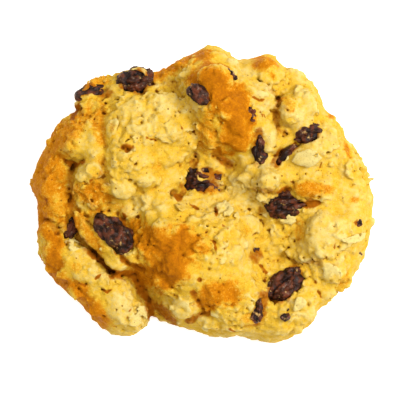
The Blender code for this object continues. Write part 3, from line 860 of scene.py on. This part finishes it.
def roughen(clay):
    """Rounded bumps with sharp creases between them, a crumbly grain, and pits."""
    near = np.nonzero(np.abs(clay.far) < 1.5)
    points = np.stack([clay.axes[k][near[k]] for k in range(3)], -1)
    crumbly = np.clip(0.9 + 0.9 * noise(points, 8.0, 40), 0.45, 1.5)
    crumbly *= 0.5 + 0.5 * soft_step(points[:, 2], 3.5, 7.0)
    bare_oat = soft_step(clay.tone[near], 0.4, 0.8)
    crumbly *= 1 - 0.7 * bare_oat
    bumps = 0.35 * np.abs(noise(points, 4.6, 41)) + 0.35 * crumbly * np.abs(noise(points, 1.9, 42))
    grain = crumbly * (0.28 * noise(points, 1.2, 43) + 0.24 * noise(points, 0.66, 44))
    pits = 1.6 * np.clip(noise(points, 1.1, 51) * noise(points, 3.4, 52) - 0.22, 0, 1)
    clay.far[near] += 0.34 - bumps + grain + pits


def flatten_base(clay):
    """The flat baked base, with shallow pores."""
    x, y = np.meshgrid(clay.axes[0], clay.axes[1], indexing="ij")
    plan = np.stack([x, y, np.zeros_like(x)], -1)
    pores = 0.5 * np.clip(rough(plan, 2.4, 61, 3) - 0.45, 0, 1)
    clay.far = np.maximum(clay.far, pores[:, :, None] - clay.axes[2][None, None, :])


def crowding(clay, spread):
    """How much dough lies round each spot: half on a flat surface, more in a hollow, less on a ridge."""
    solid = np.clip(0.5 - clay.far / STEP, 0, 1)
    return blurred(solid, spread / STEP)


# ---------------------------------------------------------------- meshes


def object_of(name, points, faces, material):
    """A smooth mesh of the points, which are in millimetres."""
    mesh = bpy.data.meshes.new(name)
    mesh.from_pydata(np.asarray(points, float) * MM, [], np.asarray(faces).tolist())
    mesh.update()
    mesh.shade_smooth()
    mesh.materials.append(material)
    made = bpy.data.objects.new(name, mesh)
    bpy.context.scene.collection.objects.link(made)
    return made


def points_of(mesh):
    flat = np.empty(len(mesh.vertices) * 3, np.float32)
    mesh.vertices.foreach_get("co", flat)
    return flat.reshape(-1, 3) / MM


def set_attribute(mesh, name, values):
    layer = mesh.attributes.new(name, "FLOAT", "POINT")
    layer.data.foreach_set("value", np.ascontiguousarray(values, np.float32))


def thinned(made, most_triangles):
    """The mesh brought down to that many triangles, the flattest places losing most."""
    thin = made.modifiers.new("thin", "DECIMATE")
    thin.ratio = most_triangles / (2 * len(made.data.polygons))
    graph = bpy.context.evaluated_depsgraph_get()
    mesh = bpy.data.meshes.new_from_object(made.evaluated_get(graph))
    made.modifiers.clear()
    made.data = mesh


def patches(points, table, wander):
    """How far each point is into the table's patches, from 0 to 1. Their edges wander."""
    x, y = points[:, 0], points[:, 1]
    total = np.zeros(len(points), np.float32)
    for cx, cy, half_length, half_width, degrees, strength in table.values():
        turn = math.radians(degrees)
        u = ((x - cx) * math.cos(turn) + (y - cy) * math.sin(turn)) / half_length
        v = ((y - cy) * math.cos(turn) - (x - cx) * math.sin(turn)) / half_width
        reach = np.hypot(u, v) + wander
        total = np.maximum(total, strength * (1 - soft_step(reach, 0.45, 1.5)))
    return total


def browned_and_shaded_share(points):
    """How browned the crust is at each point, from 0 to 1, with painted shade where the patches lie on walls facing
    away from the key light. The base is browned all over.
    """
    wander = 0.5 * rough(points, 4.0, 71, 4)
    under = 1 - soft_step(points[:, 2] + wander, 0.8, 4.0)
    return np.maximum(patches(points, BROWNED_AND_SHADED, wander), 0.85 * under)


def stain_and_shadow_share(points):
    """How dark the dough is at each point, from 0 to 1: painted shade in creases, cracks, holes, hollows and under
    overhangs, and raisin-juice stains beside the raisins.
    """
    x, y = points[:, 0], points[:, 1]
    plan = points * (1, 1, 0)
    wander = 0.4 * rough(points, 2.4, 75, 3)
    total = patches(points, STAINS_AND_SHADOWS, wander)
    # Painted shade along the creases and in the cracks and holes.
    for width, _, stain_and_shade, path in CREASES.values():
        reach = distance_to_path(x, y, path) + 1.6 * wander
        total = np.maximum(total, stain_and_shade * (1 - soft_step(reach, 0.3 * width, 1.5 * width)))
    for width, _, path in CRACKS.values():
        reach = crack_reach(plan, x, y, width, path)
        total = np.maximum(total, 0.8 - 0.8 * soft_step(reach, 0.0, 1.3 * width))
    for hx, hy, radius, _ in HOLES:
        reach = np.hypot(x - hx, y - hy) + 1.2 * wander
        total = np.maximum(total, 0.8 - 0.8 * soft_step(reach, 0.4 * radius, 1.2 * radius))
    near = past_windows(x, y) + 2.0 * wander
    return np.maximum(total, JUICE * (1 - soft_step(near, -0.2, 1.2)))


def shaped_clay():
    """The clay in the dough's final shape."""
    xs = np.arange(CAD_LOW[0] - MARGIN, CAD_HIGH[0] + MARGIN, STEP, dtype=np.float32)
    ys = np.arange(CAD_LOW[1] - MARGIN, CAD_HIGH[1] + MARGIN, STEP, dtype=np.float32)
    x, y = np.meshgrid(xs, ys, indexing="ij")
    plan = np.stack([x, y, np.zeros_like(x)], -1)
    tops = raisin_tops(xs, ys)
    height, inward = ground_plan(xs, ys, tops)
    height = blurred(lowered_round_raisins(height, x, y), 2.2)
    height = cut_height(height, x, y, plan)

    top = CAD_HIGH[2] + MARGIN
    clay = Clay((xs[0], ys[0], CAD_LOW[2] - 3 * STEP), (xs[-1] + STEP / 2, ys[-1] + STEP / 2, top))
    ground = Ground(clay, height, inward)
    starting_clay(clay, height, inward)
    press_lumps(clay, ground)
    scatter_lumps(clay, ground)
    scatter_flakes(clay, ground)
    scatter_side(clay, outline_segments())
    scatter_crumbs(clay, ground)
    press_named(clay, ground)
    clear_raisins(clay, tops, x, y, plan)
    roughen(clay)
    flatten_base(clay)
    return clay


def dough_piece(material):
    clay = shaped_clay()
    grid = openvdb.FloatGrid(10.0)
    grid.copyFromArray(clay.far)
    points, faces = grid.convertToQuads(0.0)
    made = object_of("dough", points * STEP + clay.low, faces[:, ::-1], material)
    thinned(made, DOUGH_TRIANGLES)

    at = points_of(made.data)
    set_attribute(made.data, "tone", clay.at(clay.tone, at))
    # Both measure how sunken each spot is; the dough material paints shade with them.
    set_attribute(made.data, "hollow", clay.at(crowding(clay, 0.7), at))
    set_attribute(made.data, "valley", clay.at(crowding(clay, 2.4), at))
    set_attribute(made.data, "brown_and_shade", browned_and_shaded_share(at))
    set_attribute(made.data, "pale", patches(at, PALED, 0.5 * rough(at, 3.0, 73, 3)))
    set_attribute(made.data, "stain_and_shade", stain_and_shadow_share(at))
    return made


# ---------------------------------------------------------------- raisins


def wrinkled(points, normals, number, size):
    """(the points moved into a raisin's wrinkles, how far each stands on a ridge). Size is the raisin's, in mm."""
    middle = points.mean(0)
    _, directions = np.linalg.eigh(np.cov((points - middle).T))
    local = (points - middle) @ directions[:, ::-1] * (0.5, 1.0, 1.0)
    bent = local + 0.5 * np.stack([noise(local, 2.4, 83 + k + 5 * number) for k in range(3)], -1)
    swell = 0.075 * size * noise(bent, 0.42 * size, 90 + number)
    folds = np.clip(np.abs(noise(bent, 1.9, 91 + number)), 0, 0.6)
    creases = np.clip(np.abs(noise(bent, 0.9, 92 + number)), 0, 0.5)
    ridge = 0.12 * size * folds + 0.05 * size * creases
    grain = 0.16 * noise(points, 0.7, 93) + 0.08 * noise(points, 0.35, 94)
    moved = points + normals * (swell + ridge - 0.035 * size + grain)[:, None]
    return moved, np.clip(8.0 * ridge / size, 0, 1)


def wrinkle_mesh(made, number, size):
    mesh = made.data
    normals = np.array([v.vector for v in mesh.vertex_normals])
    moved, ridge = wrinkled(points_of(mesh), normals, number, size)
    mesh.vertices.foreach_set("co", (moved * MM).astype(np.float32).ravel())
    mesh.update()
    mesh.shade_smooth()
    set_attribute(mesh, "ridge", ridge)


def raisin_piece(name, number, material):
    """A wrinkled raisin in the place, and of the size, of its CAD solid."""
    made = bpy.data.objects.new("skin_of_" + name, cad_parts[name].data.copy())
    bpy.context.scene.collection.objects.link(made)
    weld = made.modifiers.new("weld", "WELD")
    weld.merge_threshold = 1e-5
    fine = made.modifiers.new("fine", "SUBSURF")
    fine.levels = fine.render_levels = RAISIN_LEVELS
    graph = bpy.context.evaluated_depsgraph_get()
    made.data = bpy.data.meshes.new_from_object(made.evaluated_get(graph))
    made.modifiers.clear()
    made.data.materials.clear()
    made.data.materials.append(material)
    low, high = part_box(name)
    wrinkle_mesh(made, number, 1.2 * (np.array(high) - low).max() / MM)
    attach(made, "root")
    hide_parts(name)
    return made


def ball(half_length, half_width, heading, centre):
    """(points, faces) of a rounded bit, finely divided."""
    form = bmesh.new()
    bmesh.ops.create_icosphere(form, subdivisions=5, radius=1.0)
    points = np.array([v.co for v in form.verts])
    faces = np.array([[v.index for v in f.verts] for f in form.faces])
    form.free()
    points *= (half_length, half_width, 0.8 * half_width)
    across, down = math.cos(heading), math.sin(heading)
    turn = np.array(((across, down, 0), (-down, across, 0), (0, 0, 1)))
    return points @ turn + centre, faces


def raisin_bits_piece(dough, material):
    """Small bits of raisin that show through the dough, as one mesh."""
    tree = BVHTree.FromObject(dough, bpy.context.evaluated_depsgraph_get())
    parts, faces, count = [], [], 0
    for x, y, half_length, half_width, degrees in BITS.values():
        top = tree.ray_cast(Vector((x * MM, y * MM, 0.05)), Vector((0, 0, -1)))[0]
        centre = (x, y, top.z / MM - 0.5 * half_width)
        points, triangles = ball(half_length, half_width, math.radians(degrees), centre)
        parts.append(points)
        faces.append(triangles + count)
        count += len(points)
    made = object_of("raisin_bits", np.concatenate(parts), np.concatenate(faces), material)
    points, normals = points_of(made.data), np.array([v.vector for v in made.data.vertex_normals])
    swell = 0.6 * noise(points, 1.0, 96)
    ridge = np.clip(np.abs(noise(points, 0.7, 97)), 0, 0.5)
    moved = points + normals * (swell + 0.6 * ridge - 0.1)[:, None]
    made.data.vertices.foreach_set("co", (moved * MM).astype(np.float32).ravel())
    made.data.update()
    set_attribute(made.data, "ridge", 2 * ridge)
    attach(made, "root")
    return made


# ---------------------------------------------------------------- materials


class Nodes:
    """Builds a material's node tree, one call for each node."""

    def __init__(self, name):
        self.material = bpy.data.materials.new(name)
        self.material.use_nodes = True
        self.tree = self.material.node_tree
        self.shader = self.tree.nodes["Principled BSDF"]
        self.place = self.add("ShaderNodeTexCoord").outputs["Object"]

    def add(self, kind, **settings):
        made = self.tree.nodes.new(kind)
        for key, value in settings.items():
            setattr(made, key, value)
        return made

    def feed(self, socket, value):
        if isinstance(value, bpy.types.NodeSocket):
            self.tree.links.new(value, socket)
        else:
            socket.default_value = value

    def attribute(self, name):
        return self.add("ShaderNodeAttribute", attribute_name=name).outputs["Fac"]

    def noise(self, size, detail=2.0, roughness=0.5):
        """Smooth noise about 0.5, with features about as large as the size in millimetres."""
        made = self.add("ShaderNodeTexNoise")
        self.feed(made.inputs["Vector"], self.place)
        made.inputs["Scale"].default_value = 1 / (size * MM)
        made.inputs["Detail"].default_value = detail
        made.inputs["Roughness"].default_value = roughness
        return made.outputs["Fac"]

    def spots(self, size):
        """(distance from the nearest of many scattered points, a random number that belongs to that point)."""
        made = self.add("ShaderNodeTexVoronoi")
        self.feed(made.inputs["Vector"], self.place)
        made.inputs["Scale"].default_value = 1 / (size * MM)
        parted = self.add("ShaderNodeSeparateColor")
        self.feed(parted.inputs["Color"], made.outputs["Color"])
        return made.outputs["Distance"], parted.outputs["Red"]

    def sum(self, a, b, operation="ADD"):
        made = self.add("ShaderNodeMath", operation=operation)
        self.feed(made.inputs[0], a)
        self.feed(made.inputs[1], b)
        return made.outputs[0]

    def times(self, a, b):
        return self.sum(a, b, "MULTIPLY")

    def between(self, value, low, high, start=0.0, end=1.0):
        """The value's place between low and high, eased, as a number from start to end."""
        made = self.add("ShaderNodeMapRange", interpolation_type="SMOOTHSTEP")
        self.feed(made.inputs["Value"], value)
        for socket, number in zip(("From Min", "From Max", "To Min", "To Max"), (low, high, start, end)):
            made.inputs[socket].default_value = number
        return made.outputs["Result"]

    def mix(self, share, a, b):
        made = self.add("ShaderNodeMix", data_type="RGBA")
        self.feed(made.inputs[0], share)
        self.feed(made.inputs[6], a)
        self.feed(made.inputs[7], b)
        return made.outputs[2]

    def bump(self, height, strength, distance):
        made = self.add("ShaderNodeBump")
        made.inputs["Strength"].default_value = strength
        made.inputs["Distance"].default_value = distance * MM
        self.feed(made.inputs["Height"], height)
        self.feed(self.shader.inputs["Normal"], made.outputs["Normal"])


def dough_material():
    made = Nodes("baked_dough")
    tone, brown_and_shade, pale = made.attribute("tone"), made.attribute("brown_and_shade"), made.attribute("pale")
    hollow, valley, stain_and_shade = made.attribute("hollow"), made.attribute("valley"), made.attribute("stain_and_shade")
    # The fine noise also sets the bump, so the grain colours mixed by it below are painted shade in its pits and
    # painted glints on its raised grains, as well as grain.
    fine = made.noise(0.5, 4.0, 0.85)

    bare_oat = made.between(tone, 0.45, 0.9)
    paleness = made.sum(made.times(tone, 0.2), made.times(made.noise(3.4, 3.0), 2.0))
    paleness = made.sum(paleness, made.times(made.noise(1.1, 3.0, 0.6), 1.6))
    paleness = made.sum(paleness, made.times(fine, 2.6))
    paleness = made.sum(paleness, made.times(pale, 0.4))
    paleness = made.sum(paleness, made.times(brown_and_shade, -0.8))
    paleness = made.sum(paleness, made.times(bare_oat, 0.8))
    # Painted shade: hollows and valleys are pushed towards amber.
    paleness = made.sum(paleness, made.times(hollow, -1.5))
    paleness = made.sum(paleness, made.times(valley, -0.8))
    colour = made.mix(made.between(paleness, 0.6, 1.75), AMBER, GOLD)
    colour = made.mix(made.between(paleness, 1.75, 3.1), colour, PALE)
    # Painted glints on the raised grains of the fine bump, along with pale grain.
    colour = made.mix(made.between(fine, 0.45, 0.30, 0.0, 0.7), colour, GRAIN_PALE_AND_GLINT)

    toast_and_shade = made.sum(brown_and_shade, made.times(made.noise(1.3, 4.0, 0.65), 0.9))
    toast_and_shade = made.sum(toast_and_shade, made.times(fine, 1.8))
    # Painted shade: hollows are pushed towards the toasted colours.
    toast_and_shade = made.sum(toast_and_shade, made.times(hollow, 0.6))
    toast_and_shade = made.sum(toast_and_shade, made.times(bare_oat, -0.8))
    colour = made.mix(made.between(toast_and_shade, 1.75, 2.6), colour, TOASTED)
    colour = made.mix(made.between(toast_and_shade, 2.25, 3.2), colour, BROWN)

    # Painted shade in creases, cracks, holes and under overhangs, and raisin-juice stains, darkening towards the
    # crevice shade.
    dark = made.sum(stain_and_shade, made.times(made.noise(0.9, 3.0, 0.6), 0.5))
    colour = made.mix(made.between(dark, 0.4, 0.95), colour, BROWN)
    colour = made.mix(made.between(dark, 0.9, 1.35), colour, CREVICE_SHADE)
    # Painted shade in the hollows.
    painted_hollow_shade = made.sum(hollow, made.times(made.noise(0.7, 2.0), 0.12))
    colour = made.mix(made.between(painted_hollow_shade, 0.68, 0.86), colour, CREVICE_SHADE)

    # Painted shade in the pits of the fine bump, along with dark grain.
    colour = made.mix(made.between(fine, 0.53, 0.70, 0.0, 0.8), colour, GRAIN_DARK_AND_PIT_SHADE)

    distance, pick = made.spots(0.8)
    specks = made.sum(distance, made.times(pick, -8.0))
    colour = made.mix(made.between(specks, -7.72, -7.6, 0.8, 0.0), colour, SPECK)

    made.feed(made.shader.inputs["Base Color"], colour)
    made.feed(made.shader.inputs["Roughness"], made.between(made.noise(0.6, 2.0), 0.3, 0.7, 0.45, 0.75))
    made.shader.inputs["Specular IOR Level"].default_value = 0.04
    made.bump(made.times(fine, -1.0), 1.0, 0.3)
    return made.material


def raisin_material():
    """Dark skin, redder here and there, with crumbs of dough stuck on. Painted shade makes the creases near black,
    and the grey on the ridges is partly real and partly a painted glint.
    """
    made = Nodes("raisin_skin")
    ridge = made.attribute("ridge")
    # Painted shade: near black in the creases between the wrinkles.
    colour = made.mix(made.between(ridge, 0.1, 0.9), RAISIN_CREASE_SHADE, RAISIN_SKIN)
    tint = made.sum(made.noise(1.6, 3.0), made.times(ridge, 0.15))
    colour = made.mix(made.between(tint, 0.5, 0.75), colour, RAISIN_RED)
    # Grey on the ridges, partly real and partly a painted glint.
    bloom_and_glint = made.sum(made.noise(0.7, 4.0, 0.7), made.times(ridge, 0.2))
    colour = made.mix(made.between(bloom_and_glint, 0.68, 0.86), colour, RAISIN_BLOOM_AND_GLINT)
    smear = made.sum(made.noise(1.1, 4.0, 0.7), made.times(made.noise(3.5, 2.0), 0.5))
    colour = made.mix(made.between(smear, 0.86, 1.0), colour, RAISIN_SMEAR)
    made.feed(made.shader.inputs["Base Color"], colour)
    made.feed(made.shader.inputs["Roughness"], made.between(made.noise(0.8, 2.0), 0.35, 0.65, 0.35, 0.6))
    made.shader.inputs["Specular IOR Level"].default_value = 0.18
    made.bump(made.noise(0.5, 4.0, 0.7), 0.8, 0.25)
    return made.material


def floor_material():
    made = Nodes("pale_floor")
    grain = made.between(made.noise(40.0, 2.0), 0.3, 0.7)
    made.feed(made.shader.inputs["Base Color"], made.mix(grain, (0.90, 0.90, 0.90, 1), (0.93, 0.93, 0.93, 1)))
    made.shader.inputs["Roughness"].default_value = 0.9
    made.shader.inputs["Specular IOR Level"].default_value = 0.1
    made.shader.inputs["Emission Color"].default_value = (1, 1, 1, 1)
    made.shader.inputs["Emission Strength"].default_value = FLOOR_GLOW
    return made.material


# ---------------------------------------------------------------- camera, light and floor


def floor_piece():
    """A pale sheet of floor with its far corners rounded off."""
    rim = [(FLOOR_SIZE * math.cos(a), FLOOR_SIZE * math.sin(a)) for a in np.linspace(0, 2 * math.pi, 65)[:-1]]
    points = [(0, 0, 0)] + [(x, y, 0) for x, y in rim]
    faces = [(0, 1 + i, 1 + (i + 1) % 64) for i in range(64)]
    floor = object_of("floor", points, faces, floor_material())
    floor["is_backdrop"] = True
    return floor


def add_light(name, direction, distance, size, watts, colour=(1, 1, 1)):
    """A soft square light that shines on the cookie from that direction."""
    data = bpy.data.lights.new(name, "AREA")
    data.size = size
    data.energy = watts
    data.color = colour
    made = bpy.data.objects.new(name, data)
    made.location = Vector(direction).normalized() * distance
    made.rotation_euler = Vector(direction).to_track_quat("Z", "Y").to_euler()
    bpy.context.scene.collection.objects.link(made)


def add_camera():
    """Straight above the cookie with a long lens, framed as in the photograph."""
    data = bpy.data.cameras.new("camera")
    data.sensor_width = 36
    data.lens = data.sensor_width * (CAMERA_HEIGHT - RIM_Z) / VIEW_WIDTH
    data.clip_start, data.clip_end = 0.01, 10
    made = bpy.data.objects.new("camera", data)
    made.location = Vector((*VIEW_CENTRE, CAMERA_HEIGHT)) * MM
    bpy.context.scene.collection.objects.link(made)
    bpy.context.scene.camera = made


def set_stage():
    floor_piece()
    add_light("key", KEY_FROM, 0.9, 0.35, KEY_WATTS)
    add_light("top", (0.0, 0.1, 1.0), 1.3, 0.9, TOP_WATTS)
    world = bpy.data.worlds.new("studio")
    world.use_nodes = True
    world.node_tree.nodes["Background"].inputs["Color"].default_value = SKY_COLOUR
    world.node_tree.nodes["Background"].inputs["Strength"].default_value = SKY
    scene = bpy.context.scene
    scene.world = world
    scene.view_settings.view_transform = "Standard"
    add_camera()


def main():
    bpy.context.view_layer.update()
    dough = dough_piece(dough_material())
    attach(dough, "root")
    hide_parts("cookie_dough")
    skin = raisin_material()
    for number, name in enumerate(RAISINS):
        raisin_piece(name, number, skin)
    raisin_bits_piece(dough, skin)
    set_stage()


main()
